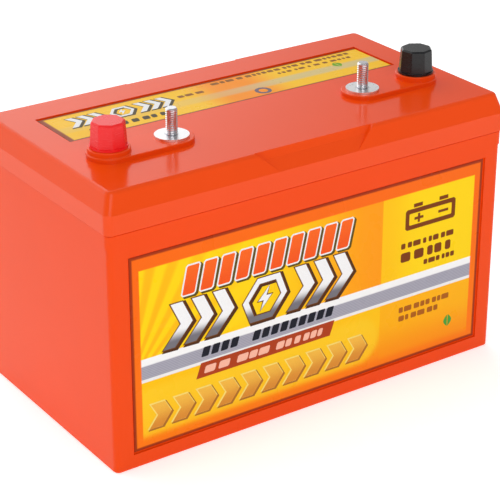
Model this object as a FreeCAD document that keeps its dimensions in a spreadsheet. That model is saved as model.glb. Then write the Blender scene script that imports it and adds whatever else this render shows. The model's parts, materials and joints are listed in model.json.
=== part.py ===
"""Deep cycle battery with dual terminals: six glass-mat cells in a plastic box.

Frame: millimetres, +X along the length (negative terminal end), +Y to the back, +Z up.
The origin is at the centre of the underside. The front, with its label and the
terminals nearer to it, faces -Y.
"""

import FreeCAD, Part
import Sketcher
import math
import os

doc = FreeCAD.newDocument("deep_cycle_battery")
V = FreeCAD.Vector
NEAR = 0.01  # two places closer than this are the same
MARGIN = 0.1  # between an edge that is looked for and its neighbours

# ---------------------------------------------------------------- driving sizes
SIZES = [
    ("overcut", 1.0, "how far a cut or a joint runs past the face that it starts from"),
    # container
    ("case_length", 321.0, "outside of the container wall"),
    ("case_width", 170.0, "outside of the container wall"),
    ("case_wall", 3.5, "container wall"),
    ("case_corner", 4.0, "radius of the upright corners"),
    ("case_floor", 4.0, "floor under the cells"),
    ("case_top", 177.0, "top of the walls, hidden under the lid rim"),
    ("band_low", 161.3, "underside of the thicker band below the rim"),
    ("band_high", 170.8, "top of the band"),
    ("band_proud", 0.7, "how far the band stands out"),
    ("cell_count", 6, "number of cells"),
    ("partition", 2.5, "wall between two cells"),
    ("weld_hole", 6.0, "radius of the hole for a cell connection"),
    ("weld_height", 165.0, "height of the cell connections"),
    # labels on the long sides
    ("panel_half", 147.0, "half length of the label panel"),
    ("panel_low", 10.5, "lower edge of the label panel"),
    ("panel_high", 153.5, "upper edge of the label panel"),
    ("panel_depth", 1.4, "how far the panel is sunk in"),
    ("label_gap", 1.3, "gap round a label"),
    ("label_thick", 0.4, "printed label"),
    # lid
    ("lid_length", 324.0, "outside of the lid rim"),
    ("lid_width", 173.0, "outside of the lid rim"),
    ("lid_corner", 5.0, "radius of the rim corners"),
    ("rim_low", 171.6, "underside of the rim"),
    ("rim_high", 185.0, "top of the upright rim"),
    ("deck_top", 199.0, "top of the deck"),
    ("deck_run", 4.5, "inward run of the sloped deck sides"),
    ("deck_round", 3.0, "radius of the deck edges"),
    ("edge_round", 0.9, "radius of small edges"),
    ("deck_inside", 194.0, "roof of the gas space over a cell"),
    ("gallery_inside", 180.5, "roof of the gas space under the valves"),
    ("roof_length", 46.0, "gas space along the battery"),
    ("roof_half", 78.0, "half depth of the gas space"),
    # notch in the long edges of the deck
    ("notch_low", 185.2, "where the notch starts"),
    ("notch_knee", 193.5, "change of slope in the notch"),
    ("notch_half_low", 32.0, "half length at the start"),
    ("notch_half_top", 47.5, "half length at the deck"),
    ("notch_knee_y", 81.0, "distance of the knee from the middle"),
    ("notch_top_y", 79.0, "distance of the notch edge from the middle"),
    ("notch_start", 0.1, "depth of the notch where it starts"),
    # terminal pads on the lid
    ("post_x", 126.0, "posts, left and right of the middle"),
    ("stud_x", 78.5, "studs, left and right of the middle"),
    ("post_y", -29.5, "line of posts and studs"),
    ("pad_radius", 15.0, "half width of a pad"),
    ("pad_high", 3.0, "pad above the deck"),
    ("boss_radius", 14.2, "round boss under a cap"),
    ("boss_high", 6.6, "boss above the deck"),
    ("pad_round", 0.6, "radius of the pad and boss edges"),
    ("socket_radius", 15.5, "plastic round the casting under the deck"),
    ("socket_low", 186.5, "underside of that plastic"),
    # valve gallery and its cover
    ("cover_half", 135.0, "half length of the cover recess"),
    ("cover_front", 5.0, "front edge of the cover recess"),
    ("cover_back", 54.0, "back edge of the cover recess"),
    ("cover_gap", 0.3, "gap round the cover"),
    ("cover_thick", 3.0, "cover plate"),
    ("cover_sunk", 1.2, "top of the cover below the deck"),
    ("ledge", 6.0, "ledge that the cover rests on"),
    ("gallery_wall", 2.0, "how far the low gas space reaches past the cover"),
    ("gallery_floor", 184.0, "floor of the gallery"),
    ("vent_slot", 1.5, "radius of the gas vents in the cover's edge"),
    ("neck_pitch", 47.0, "from one valve neck to the next"),
    ("neck_radius", 5.0, "outside of a valve neck"),
    ("neck_bore", 2.5, "bore of a valve neck"),
    ("neck_top", 191.0, "top of a valve neck"),
    ("valve_radius", 7.2, "outside of a valve cap"),
    ("valve_bore", 5.05, "inside of a valve cap"),
    ("valve_low", 185.0, "lower edge of a valve cap"),
    ("valve_roof", 1.8, "roof of a valve cap"),
    # terminals
    ("taper", 1.0 / 9.0, "change in diameter per length of a tapered post"),
    ("post_tall", 15.6, "tapered post above its boss"),
    ("positive_top", 17.5, "diameter at the top of the positive post"),
    ("negative_top", 15.9, "diameter at the top of the negative post"),
    ("collar_radius", 11.0, "casting inside the boss"),
    ("collar_low", 189.5, "underside of the casting"),
    ("arm_width", 14.0, "arm from the post to the stud"),
    ("arm_low", 195.0, "underside of the arm"),
    ("arm_high", 200.6, "top of the arm"),
    ("seat_radius", 9.0, "round seat under a stud"),
    ("seat_low", 189.5, "underside of the seat"),
    ("stud_radius", 3.97, "5/16 inch stud"),
    ("stud_root", 4.6, "plain root of a stud, below its thread"),
    ("stud_hole", 4.65, "hole for the root in the seat"),
    ("stud_low", 192.0, "lower end of the stud"),
    ("stud_high", 221.8, "upper end of the stud"),
    ("stud_chamfer", 0.8, "chamfer at the stud's end"),
    ("washer_radius", 11.7, "contact washer"),
    ("washer_hole", 4.7, "hole in the washer"),
    ("washer_thick", 1.5, "contact washer"),
    ("pillar_radius", 6.0, "pillar of an end strap"),
    ("pillar_hole", 6.05, "hole in the terminal casting"),
    ("pillar_short", 0.2, "end of the pillar below the top of its post"),
    # post caps
    ("cap_gap", 0.1, "cap above its boss"),
    ("cap_tall", 17.6, "whole cap"),
    ("cap_flange", 12.6, "radius of the round flange"),
    ("cap_flange_tall", 1.5, "thickness of the flange"),
    ("cap_sides", 8, "flats of the grip"),
    ("cap_low", 12.4, "grip at the flange, centre to corner"),
    ("cap_high", 11.4, "grip at the top, centre to corner"),
    ("cap_corner", 1.6, "radius of the grip's corners"),
    ("cap_chamfer", 1.0, "chamfer at the top"),
    ("cap_clear", 0.3, "air between a cap and its post"),
    ("red_cap_turn", 252.5, "direction of one corner of the positive cap"),
    ("black_cap_turn", 260.5, "direction of one corner of the negative cap"),
    # plates
    ("positive_plates", 6, "plates in a cell"),
    ("negative_plates", 7, "plates in a cell"),
    ("positive_thick", 2.6, "positive plate"),
    ("negative_thick", 2.0, "negative plate"),
    ("mat_thick", 1.6, "glass mat separator"),
    ("plate_half", 79.0, "half width of a plate"),
    ("plate_low", 6.0, "lower edge of the plates"),
    ("plate_high", 140.0, "upper edge of the plates"),
    ("mat_half", 80.5, "half width of a separator"),
    ("mat_low", 4.0, "lower edge of the separators"),
    ("mat_high", 143.0, "upper edge of the separators"),
    ("lug_half", 6.0, "half width of a plate lug"),
    ("lug_y", 31.0, "lugs in front of and behind the middle"),
    # straps
    ("strap_low", 148.0, "underside of a strap, on top of the lugs"),
    ("strap_high", 156.0, "top of a strap"),
    ("strap_half", 8.0, "half width of a strap"),
    ("wing_high", 172.0, "top of the upright part beside a cell wall"),
    ("wing_thick", 5.0, "thickness of that part"),
]

sheet = doc.addObject("Spreadsheet::Sheet", "sizes")
for row, (alias, value, note) in enumerate(SIZES, start=1):
    sheet.set(f"A{row}", alias)
    sheet.set(f"B{row}", repr(value))
    sheet.set(f"C{row}", note)
    sheet.setAlias(f"B{row}", alias)

# Sizes that follow from the driving ones.
DERIVED = [
    ("cell_length", "(case_length - 2 * case_wall - (cell_count - 1) * partition) / cell_count"),
    ("cell_pitch", "cell_length + partition"),
    ("first_cell", "-(cell_count - 1) / 2 * cell_pitch"),
    ("first_neck", "-(cell_count - 1) / 2 * neck_pitch"),
    ("cell_half_width", "case_width / 2 - case_wall"),
    ("pair_pitch", "positive_thick + negative_thick + 2 * mat_thick"),
    ("stack_half", "negative_thick / 2 + positive_plates * pair_pitch / 2"),
    ("boss_top", "deck_top + boss_high"),
    ("pad_top", "deck_top + pad_high"),
    ("post_top", "boss_top + post_tall"),
    ("cover_top", "deck_top - cover_sunk"),
    ("cover_low", "cover_top - cover_thick"),
    ("panel_floor", "case_width / 2 - panel_depth"),
]
first_derived = len(SIZES) + 2
for row, (alias, formula) in enumerate(DERIVED, start=first_derived):
    sheet.set(f"A{row}", alias)
    sheet.set(f"B{row}", "=" + formula)
    sheet.setAlias(f"B{row}", alias)
working = doc.addObject("Spreadsheet::Sheet", "working")
doc.recompute()

ALIASES = {row[0] for row in SIZES + DERIVED}


def size(alias):
    """The value of one cell of the sheet, in millimetres, degrees or a count."""
    return float(sheet.get(alias))


def linked(expression):
    """An expression in aliases, written the way a property of another object reads it."""
    out = ""
    word = ""
    for character in expression + " ":
        if character.isalnum() or character == "_":
            word += character
            continue
        out += f"sizes.{word}" if word in ALIASES else word
        out += character
        word = ""
    return out.strip()


def value_of(expression):
    """The number that an expression in aliases gives now, worked out in a spare sheet."""
    working.set("A1", "=" + linked(expression))
    working.recompute()
    return float(working.get("A1"))


def bind(item, **properties):
    """Ties properties to the sheet: a double underscore in a name stands for a dot."""
    for name, expression in properties.items():
        item.setExpression(name.replace("__", "."), linked(expression))
    return item


# ---------------------------------------------------------------- sketch helpers
PLANES = {"XY": "XY_Plane", "XZ": "XZ_Plane", "YZ": "YZ_Plane"}


def new_body(name):
    body = doc.addObject("PartDesign::Body", name)
    body.AllowCompound = True
    return body


def new_sketch(body, name, plane="XY", offset="0"):
    """A sketch on one of the body's own planes, moved along the plane's normal by offset."""
    sketch = body.newObject("Sketcher::SketchObject", name)
    support = [item for item in body.Origin.OriginFeatures if item.Role == PLANES[plane]][0]
    sketch.AttachmentSupport = [(support, "")]
    sketch.MapMode = "FlatFace"
    bind(sketch, AttachmentOffset__Base__z=offset)
    return sketch


def place_point(sketch, line, end, name, across, up):
    """Ties one end of a line, or a circle's centre, to its place from the origin."""
    for kind, axis, expression in (("DistanceX", -2, across), ("DistanceY", -1, up)):
        number = value_of(expression)
        if abs(number) < 1e-9:
            sketch.addConstraint(Sketcher.Constraint("PointOnObject", line, end, axis))
            continue
        index = sketch.addConstraint(Sketcher.Constraint(kind, -1, 1, line, end, number))
        sketch.renameConstraint(index, f"{name}_{kind[-1].lower()}")
        sketch.setExpression(f"Constraints.{name}_{kind[-1].lower()}", linked(expression))


def polygon(sketch, name, corners):
    """A closed outline through corners, each a pair of expressions."""
    points = [V(value_of(across), value_of(up), 0) for across, up in corners]
    count = len(points)
    first = None
    for number in range(count):
        line = Part.LineSegment(points[number], points[(number + 1) % count])
        index = sketch.addGeometry(line, False)
        first = index if first is None else first
    for number in range(count):
        after = first + (number + 1) % count
        sketch.addConstraint(Sketcher.Constraint("Coincident", first + number, 2, after, 1))
    for number, (across, up) in enumerate(corners):
        place_point(sketch, first + number, 1, f"{name}{number}", across, up)


def rectangle(sketch, name, low_across, high_across, low_up, high_up):
    polygon(
        sketch,
        name,
        [
            (low_across, low_up),
            (high_across, low_up),
            (high_across, high_up),
            (low_across, high_up),
        ],
    )


def circle(sketch, name, across, up, radius):
    centre = V(value_of(across), value_of(up), 0)
    shape = Part.Circle(centre, V(0, 0, 1), value_of(radius))
    index = sketch.addGeometry(shape, False)
    place_point(sketch, index, 3, name, across, up)
    constraint = sketch.addConstraint(Sketcher.Constraint("Radius", index, value_of(radius)))
    sketch.renameConstraint(constraint, f"{name}_radius")
    sketch.setExpression(f"Constraints.{name}_radius", linked(radius))


def pad(body, sketch, name, length, backwards=False, both_ways=False):
    feature = body.newObject("PartDesign::Pad", name)
    feature.Profile = sketch
    feature.Reversed = backwards
    feature.Midplane = both_ways
    bind(feature, Length=length)
    doc.recompute()
    return feature


def pocket(body, sketch, name, length, backwards=False, both_ways=False):
    """A pocket, with a test that it took material away."""
    before = body.Shape.Volume
    feature = body.newObject("PartDesign::Pocket", name)
    feature.Profile = sketch
    feature.Reversed = backwards
    feature.Midplane = both_ways
    bind(feature, Length=length)
    doc.recompute()
    if not body.Shape.Volume < before - 1e-3:
        raise ValueError(f"{name} cuts nothing")
    return feature


def repeat_along_x(body, feature, name, pitch, count):
    """Repeats a feature along the X axis of the sketch that it came from."""
    pattern = body.newObject("PartDesign::LinearPattern", name)
    pattern.Originals = [feature]
    axis = [item for item in body.Origin.OriginFeatures if item.Role == "X_Axis"][0]
    pattern.Direction = (axis, [""])
    bind(pattern, Length=f"({pitch}) * (({count}) - 1)", Occurrences=count)
    body.Tip = pattern
    doc.recompute()
    return pattern


def edges_where(feature, test):
    """Names of a feature's edges whose two ends and middle all pass the test."""
    found = []
    for number, edge in enumerate(feature.Shape.Edges, start=1):
        middle = edge.valueAt((edge.FirstParameter + edge.LastParameter) / 2)
        points = [vertex.Point for vertex in edge.Vertexes] + [middle]
        if all(test(point) for point in points):
            found.append(f"Edge{number}")
    if not found:
        raise ValueError(f"{feature.Name} has no such edge")
    return found


def round_edges(body, feature, name, radius, edges):
    fillet = body.newObject("PartDesign::Fillet", name)
    fillet.Base = (feature, edges)
    bind(fillet, Radius=radius)
    doc.recompute()
    return fillet


def bevel_edges(body, feature, name, amount, edges):
    chamfer = body.newObject("PartDesign::Chamfer", name)
    chamfer.Base = (feature, edges)
    bind(chamfer, Size=amount)
    doc.recompute()
    return chamfer


# ---------------------------------------------------------------- part helpers
def cylinder(name, radius, low, high, across="0", along="0"):
    item = doc.addObject("Part::Cylinder", name)
    bind(item, Radius=radius, Height=f"({high}) - ({low})")
    bind(item, Placement__Base__x=across, Placement__Base__y=along, Placement__Base__z=low)
    return item


def cone(name, radius_low, radius_high, low, high, across="0", along="0"):
    item = doc.addObject("Part::Cone", name)
    bind(item, Radius1=radius_low, Radius2=radius_high, Height=f"({high}) - ({low})")
    bind(item, Placement__Base__x=across, Placement__Base__y=along, Placement__Base__z=low)
    return item


def box(name, low_x, high_x, low_y, high_y, low_z, high_z):
    item = doc.addObject("Part::Box", name)
    bind(item, Length=f"({high_x}) - ({low_x})", Width=f"({high_y}) - ({low_y})")
    bind(item, Height=f"({high_z}) - ({low_z})")
    bind(item, Placement__Base__x=low_x, Placement__Base__y=low_y, Placement__Base__z=low_z)
    return item


def joined(name, items):
    fuse = doc.addObject("Part::MultiFuse", name)
    fuse.Shapes = items
    fuse.Refine = True
    return fuse


def less(name, base, tool):
    cut = doc.addObject("Part::Cut", name)
    cut.Base = base
    cut.Tool = tool
    return cut


PIECES = {}


def piece(node, item):
    """Keeps an object as one sub-part, named after its file."""
    item.Label = node
    PIECES[node] = item
    return item


# ---------------------------------------------------------------- container
def build_container():
    """Open box with six cells, a band under the rim and sunk label panels."""
    body = new_body("container")
    half_x, half_y = "case_length / 2", "case_width / 2"

    outline = new_sketch(body, "case_outline")
    rectangle(outline, "wall", f"-{half_x}", half_x, f"-{half_y}", half_y)
    block = pad(body, outline, "case_block", "case_top")
    corner_x, corner_y = value_of(half_x), value_of(half_y)

    def upright_corner(point):
        return abs(abs(point.x) - corner_x) < NEAR and abs(abs(point.y) - corner_y) < NEAR

    corners = edges_where(block, upright_corner)
    rounded = round_edges(body, block, "case_corners", "case_corner", corners)
    under = edges_where(rounded, lambda point: abs(point.z) < NEAR)
    bevel_edges(body, rounded, "case_foot", "edge_round", under)

    band = new_sketch(body, "band_outline", offset="band_low")
    wide_x, wide_y = f"{half_x} + band_proud", f"{half_y} + band_proud"
    rectangle(band, "band", f"-({wide_x})", wide_x, f"-({wide_y})", wide_y)
    ring = pad(body, band, "band_block", "band_high - band_low")
    wide = value_of(wide_x), value_of(wide_y)

    def band_corner(point):
        return abs(abs(point.x) - wide[0]) < NEAR and abs(abs(point.y) - wide[1]) < NEAR

    band_edges = edges_where(ring, band_corner)
    round_edges(body, ring, "band_corners", "case_corner + band_proud", band_edges)

    cell = new_sketch(body, "cell_outline", offset="case_top")
    start = "first_cell - cell_length / 2"
    end = "first_cell + cell_length / 2"
    rectangle(cell, "cell", start, end, "-cell_half_width", "cell_half_width")
    hollow = pocket(body, cell, "cell_space", "case_top - case_floor")
    repeat_along_x(body, hollow, "cell_spaces", "cell_pitch", "cell_count")

    for side, sign, first, count in (("back", "", 1, 3), ("front", "-", 2, 2)):
        wall_x = f"first_cell + {first - 0.5} * cell_pitch"
        hole = new_sketch(body, f"weld_outline_{side}", "YZ", wall_x)
        circle(hole, "weld", f"{sign}lug_y", "weld_height", "weld_hole")
        opening = pocket(body, hole, f"weld_hole_{side}", "2 * partition", both_ways=True)
        repeat_along_x(body, opening, f"weld_holes_{side}", "2 * cell_pitch", str(count))

    for side, offset, backwards in (
        ("front", half_y, True),
        ("back", f"-{half_y}", False),
    ):
        panel = new_sketch(body, f"panel_outline_{side}", "XZ", offset)
        rectangle(panel, "panel", "-panel_half", "panel_half", "panel_low", "panel_high")
        pocket(body, panel, f"panel_{side}", "panel_depth", backwards=not backwards)
    return piece("container", body)


# ---------------------------------------------------------------- lid
def rectangular_section(body, name, height, half_x, half_y, middle_y="0"):
    sketch = new_sketch(body, name, offset=height)
    low_y, high_y = f"({middle_y}) - ({half_y})", f"({middle_y}) + ({half_y})"
    rectangle(sketch, "side", f"-({half_x})", half_x, low_y, high_y)
    return sketch


def build_lid_moulding():
    """Rim, sloped deck, notches, terminal pads, valve gallery and gas spaces."""
    body = new_body("lid_moulding")
    half_x, half_y = "lid_length / 2", "lid_width / 2"

    rim = rectangular_section(body, "rim_outline", "rim_low", half_x, half_y)
    block = pad(body, rim, "rim_block", "rim_high - rim_low")
    deck = body.newObject("PartDesign::AdditiveLoft", "deck_block")
    deck.Profile = rectangular_section(body, "deck_foot", "rim_high", half_x, half_y)
    top_x, top_y = f"{half_x} - deck_run", f"{half_y} - deck_run"
    deck.Sections = [rectangular_section(body, "deck_outline", "deck_top", top_x, top_y)]
    deck.Ruled = True
    doc.recompute()

    low = value_of(half_x), value_of(half_y)
    run = size("deck_run")

    def outer_corner(point):
        x_reach, y_reach = low[0] - abs(point.x), low[1] - abs(point.y)
        return x_reach < run + NEAR and y_reach < run + NEAR

    corners = edges_where(deck, outer_corner)
    rounded = round_edges(body, deck, "rim_corners", "lid_corner", corners)
    deck_top = size("deck_top")
    top_edges = edges_where(rounded, lambda point: abs(point.z - deck_top) < NEAR)
    round_edges(body, rounded, "deck_edges", "deck_round", top_edges)

    build_notches(body)
    build_pads(body)
    build_inside(body)
    build_gallery(body)
    return body


def build_notches(body):
    """A notch in the middle of each long edge: a steep wall over a sloped panel."""
    outside = "lid_width / 2 + overcut"
    lean = "(notch_half_top - notch_half_low) / (deck_top - notch_low)"
    knee_half = f"notch_half_low + {lean} * (notch_knee - notch_low)"
    over_half = f"notch_half_top + {lean} * overcut"
    levels = (
        ("start", "notch_low", "notch_half_low", "lid_width / 2 - notch_start"),
        ("knee", "notch_knee", knee_half, "notch_knee_y"),
        ("top", "deck_top + overcut", over_half, "notch_top_y"),
    )
    for side, sign in (("front", "-"), ("back", "")):
        sections = []
        for level, height, half, inside in levels:
            sketch = new_sketch(body, f"notch_{side}_{level}", offset=height)
            near, far = f"{sign}({inside})", f"{sign}({outside})"
            rectangle(sketch, "notch", f"-({half})", half, near, far)
            sections.append(sketch)
        before = body.Shape.Volume
        for number in range(len(sections) - 1):
            cut = body.newObject("PartDesign::SubtractiveLoft", f"notch_{side}_{number}")
            cut.Profile = sections[number]
            cut.Sections = [sections[number + 1]]
            cut.Ruled = True
            doc.recompute()
        if not body.Shape.Volume < before - 1.0:
            raise ValueError(f"the {side} notch cuts nothing")


def build_pads(body):
    """Two long pads with a round boss under each post cap, and the sockets below."""
    for side, sign in (("left", "-"), ("right", "")):
        post, stud = f"{sign}post_x", f"{sign}stud_x"
        ends = sorted((post, stud), key=value_of)
        bar = new_sketch(body, f"pad_bar_{side}", offset="deck_top - overcut")
        front, back = "post_y - pad_radius", "post_y + pad_radius"
        rectangle(bar, "bar", ends[0], ends[1], front, back)
        pad(body, bar, f"pad_{side}", "pad_high + overcut")
        for name, place in (("post", post), ("stud", stud)):
            end = new_sketch(body, f"pad_{name}_outline_{side}", offset="deck_top - overcut")
            circle(end, "end", place, "post_y", "pad_radius")
            pad(body, end, f"pad_{name}_end_{side}", "pad_high + overcut")
        boss = new_sketch(body, f"boss_outline_{side}", offset="deck_top - overcut")
        circle(boss, "boss", post, "post_y", "boss_radius")
        raised = pad(body, boss, f"boss_{side}", "boss_high + overcut")
        heights = size("boss_top"), size("pad_top")
        centre = V(value_of(post), size("post_y"), 0)

        def pad_edge(point):
            on_boss = abs(point.z - heights[0]) < NEAR
            on_pad = abs(point.z - heights[1]) < NEAR
            across = math.hypot(point.x - centre.x, point.y - centre.y)
            return on_boss or (on_pad and across > size("boss_radius") + MARGIN)

        edges = edges_where(raised, pad_edge)
        round_edges(body, raised, f"pad_edges_{side}", "pad_round", edges)


def build_inside(body):
    """The skirt that covers the container's lip, and a gas space over each cell."""
    skirt = rectangular_section(
        body, "skirt_outline", "rim_low", "case_length / 2", "case_width / 2"
    )
    pocket(body, skirt, "skirt", "case_top - rim_low", backwards=True)
    low_x, high_x = "first_cell - roof_length / 2", "first_cell + roof_length / 2"
    spaces = (
        ("front", "-roof_half", "cover_front - overcut", "deck_inside"),
        ("middle", "cover_front - gallery_wall", "cover_back + gallery_wall", "gallery_inside"),
        ("back", "cover_back + overcut", "roof_half", "deck_inside"),
    )
    for name, front, back, roof in spaces:
        sketch = new_sketch(body, f"gas_{name}_outline", offset="case_top")
        rectangle(sketch, "gas", low_x, high_x, front, back)
        space = pocket(body, sketch, f"gas_{name}", f"{roof} - case_top", backwards=True)
        repeat_along_x(body, space, f"gas_{name}_spaces", "cell_pitch", "cell_count")
    for side, sign in (("left", "-"), ("right", "")):
        for name, place in (("post", f"{sign}post_x"), ("stud", f"{sign}stud_x")):
            socket = new_sketch(body, f"socket_{name}_outline_{side}", offset="socket_low")
            circle(socket, "socket", place, "post_y", "socket_radius")
            pad(body, socket, f"socket_{name}_{side}", "deck_inside - socket_low + overcut")


def build_gallery(body):
    """The recess for the valve cover, the gallery under it and six valve necks."""
    recess = new_sketch(body, "cover_outline", offset="deck_top")
    rectangle(recess, "recess", "-cover_half", "cover_half", "cover_front", "cover_back")
    pocket(body, recess, "cover_recess", "deck_top - cover_low")
    gallery = new_sketch(body, "gallery_outline", offset="cover_low")
    rectangle(
        gallery,
        "gallery",
        "-(cover_half - ledge)",
        "cover_half - ledge",
        "cover_front + ledge",
        "cover_back - ledge",
    )
    pocket(body, gallery, "gallery_space", "cover_low - gallery_floor")
    middle = "(cover_front + cover_back) / 2"
    neck = new_sketch(body, "neck_outline", offset="gallery_floor - overcut")
    circle(neck, "neck", "first_neck", middle, "neck_radius")
    tube = pad(body, neck, "neck_tube", "neck_top - gallery_floor + overcut")
    repeat_along_x(body, tube, "neck_tubes", "neck_pitch", "cell_count")
    bore = new_sketch(body, "neck_bore_outline", offset="neck_top")
    circle(bore, "bore", "first_neck", middle, "neck_bore")
    hole = pocket(body, bore, "neck_hole", "neck_top - gallery_inside + overcut")
    repeat_along_x(body, hole, "neck_holes", "neck_pitch", "cell_count")


def build_valve_cover():
    """Flat plate over the gallery, with small gas vents in its two ends."""
    body = new_body("valve_cover")
    outline = new_sketch(body, "cover_plate_outline", offset="cover_low")
    half = "cover_half - cover_gap"
    front, back = "cover_front + cover_gap", "cover_back - cover_gap"
    rectangle(outline, "plate", f"-({half})", half, front, back)
    plate = pad(body, outline, "cover_plate", "cover_thick")
    low_z, high_z = size("cover_low"), value_of("cover_low + cover_thick")
    limits = value_of(half), value_of(front), value_of(back)

    def upright_corner(point):
        at_end = abs(abs(point.x) - limits[0]) < NEAR
        at_side = abs(point.y - limits[1]) < NEAR or abs(point.y - limits[2]) < NEAR
        return at_end and at_side and low_z - NEAR < point.z < high_z + NEAR

    corners = edges_where(plate, upright_corner)
    round_edges(body, plate, "cover_corners", "edge_round", corners)
    vents = new_sketch(body, "vent_outline", offset="cover_low + cover_thick")
    for name, sign in (("left", "-"), ("right", "")):
        circle(vents, name, f"{sign}({half})", "(cover_front + cover_back) / 2", "vent_slot")
    pocket(body, vents, "vents", "cover_thick + overcut")
    return piece("valve_cover", body)


# ---------------------------------------------------------------- labels
def build_labels():
    """Three printed labels: front and back panels and the top of the valve cover."""
    inset = "panel_half - label_gap"
    low, high = "panel_low + label_gap", "panel_high - label_gap"
    inner, outer = "panel_floor", "panel_floor + label_thick"
    front = box("front_label", f"-({inset})", inset, f"-({outer})", f"-({inner})", low, high)
    piece("front_label", front)
    piece("back_label", box("back_label", f"-({inset})", inset, inner, outer, low, high))
    half = "cover_half - label_gap"
    front_edge, back_edge = "cover_front + label_gap", "cover_back - label_gap"
    top = "cover_top + label_thick"
    plate = box("top_label", f"-({half})", half, front_edge, back_edge, "cover_top", top)
    piece("top_label", plate)


# ---------------------------------------------------------------- terminals
def build_casting(name, side, top_diameter):
    """Lead casting moulded into the lid: tapered post, collar, arm and stud seat.

    Returns what the lid is cut with: the casting without its holes, and the way in for
    the pillar below it.
    """
    post, stud = f"{side}post_x", f"{side}stud_x"
    ends = sorted((post, stud), key=value_of)
    high_radius = f"{top_diameter} / 2"
    low_radius = f"{top_diameter} / 2 + post_tall * taper / 2"
    solids = [
        cone(f"{name}_taper", low_radius, high_radius, "boss_top", "post_top", post, "post_y"),
        cylinder(f"{name}_collar", "collar_radius", "collar_low", "boss_top", post, "post_y"),
        box(
            f"{name}_arm",
            ends[0],
            ends[1],
            "post_y - arm_width / 2",
            "post_y + arm_width / 2",
            "arm_low",
            "arm_high",
        ),
        cylinder(f"{name}_seat", "seat_radius", "seat_low", "pad_top", stud, "post_y"),
    ]
    blank = joined(f"{name}_blank", solids)
    holes = [
        cylinder(f"{name}_bore", "pillar_hole", "collar_low - overcut", "post_top + overcut", post, "post_y"),
        cylinder(f"{name}_thread", "stud_hole", "stud_low", "pad_top + overcut", stud, "post_y"),
    ]
    casting = less(f"{name}_casting", blank, joined(f"{name}_holes", holes))
    piece(f"{name}_terminal", casting)
    way_in = cylinder(
        f"{name}_way_in", "pillar_hole", "socket_low - overcut", "collar_low + overcut", post, "post_y"
    )
    return joined(f"{name}_space", [blank, way_in])


def build_stud(name, side):
    """Stud with a plain root, its thread at the outside diameter, and its contact washer."""
    stud_x = f"{side}stud_x"
    top = "pad_top + washer_thick"
    root = cylinder(f"{name}_root", "stud_root", "stud_low", top)
    rod = cylinder(f"{name}_rod", "stud_radius", top, "stud_high - stud_chamfer")
    tip = cone(
        f"{name}_tip",
        "stud_radius",
        "stud_radius - stud_chamfer",
        "stud_high - stud_chamfer",
        "stud_high",
    )
    for item in (root, rod, tip):
        bind(item, Placement__Base__x=stud_x, Placement__Base__y="post_y")
    piece(f"{name}_stud", joined(f"{name}_stud", [root, rod, tip]))
    disc = cylinder(f"{name}_disc", "washer_radius", "pad_top", top, stud_x, "post_y")
    hole = cylinder(f"{name}_hole", "washer_hole", "pad_top - overcut", f"{top} + overcut", stud_x, "post_y")
    piece(f"{name}_contact_washer", less(f"{name}_washer", disc, hole))


def grip_outline(sketch, radius, turn):
    """The regular outline of a grip round the origin, one corner turned from +X by turn."""
    corners = []
    for number in range(int(size("cap_sides"))):
        angle = f"({turn} + {number} * 360 / cap_sides) * 1deg"
        corners.append((f"({radius}) * cos({angle})", f"({radius}) * sin({angle})"))
    polygon(sketch, "corner", corners)


def build_cap(name, side, top_diameter, turn):
    """Push-on post cap: round flange, tapered eight-sided grip, tapered bore."""
    body = new_body(name)
    flange = new_sketch(body, f"{name}_flange_outline")
    circle(flange, "flange", "0", "0", "cap_flange")
    pad(body, flange, f"{name}_flange", "cap_flange_tall")
    grip = body.newObject("PartDesign::AdditiveLoft", f"{name}_grip")
    sections = []
    for level, height, radius in (
        ("low", "cap_flange_tall", "cap_low"),
        ("high", "cap_tall", "cap_high"),
    ):
        sketch = new_sketch(body, f"{name}_outline_{level}", offset=height)
        grip_outline(sketch, radius, turn)
        sections.append(sketch)
    grip.Profile = sections[0]
    grip.Sections = [sections[1]]
    grip.Ruled = True
    doc.recompute()
    flange_top, top = size("cap_flange_tall"), size("cap_tall")

    def sloping(point):
        return math.hypot(point.x, point.y) > size("cap_high") - MARGIN

    edges = []
    for number, edge in enumerate(grip.Shape.Edges, start=1):
        heights = sorted(vertex.Point.z for vertex in edge.Vertexes)
        rises = heights[0] < flange_top + NEAR and heights[-1] > top - NEAR
        if rises and all(sloping(vertex.Point) for vertex in edge.Vertexes):
            edges.append(f"Edge{number}")
    rounded = round_edges(body, grip, f"{name}_corners", "cap_corner", edges)
    rim = edges_where(rounded, lambda point: abs(point.z - top) < NEAR)
    bevel_edges(body, rounded, f"{name}_bevel", "cap_chamfer", rim)
    bind(body, Placement__Base__x=f"{side}post_x", Placement__Base__y="post_y")
    bind(body, Placement__Base__z="boss_top + cap_gap")

    low_radius = f"{top_diameter} / 2 + post_tall * taper / 2 + cap_clear"
    high_radius = f"{top_diameter} / 2 + cap_clear"
    room = cone(
        f"{name}_room",
        low_radius,
        high_radius,
        "boss_top",
        "post_top + cap_clear + cap_gap",
        f"{side}post_x",
        "post_y",
    )
    return piece(name, less(f"{name}_hollow", body, room))


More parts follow.
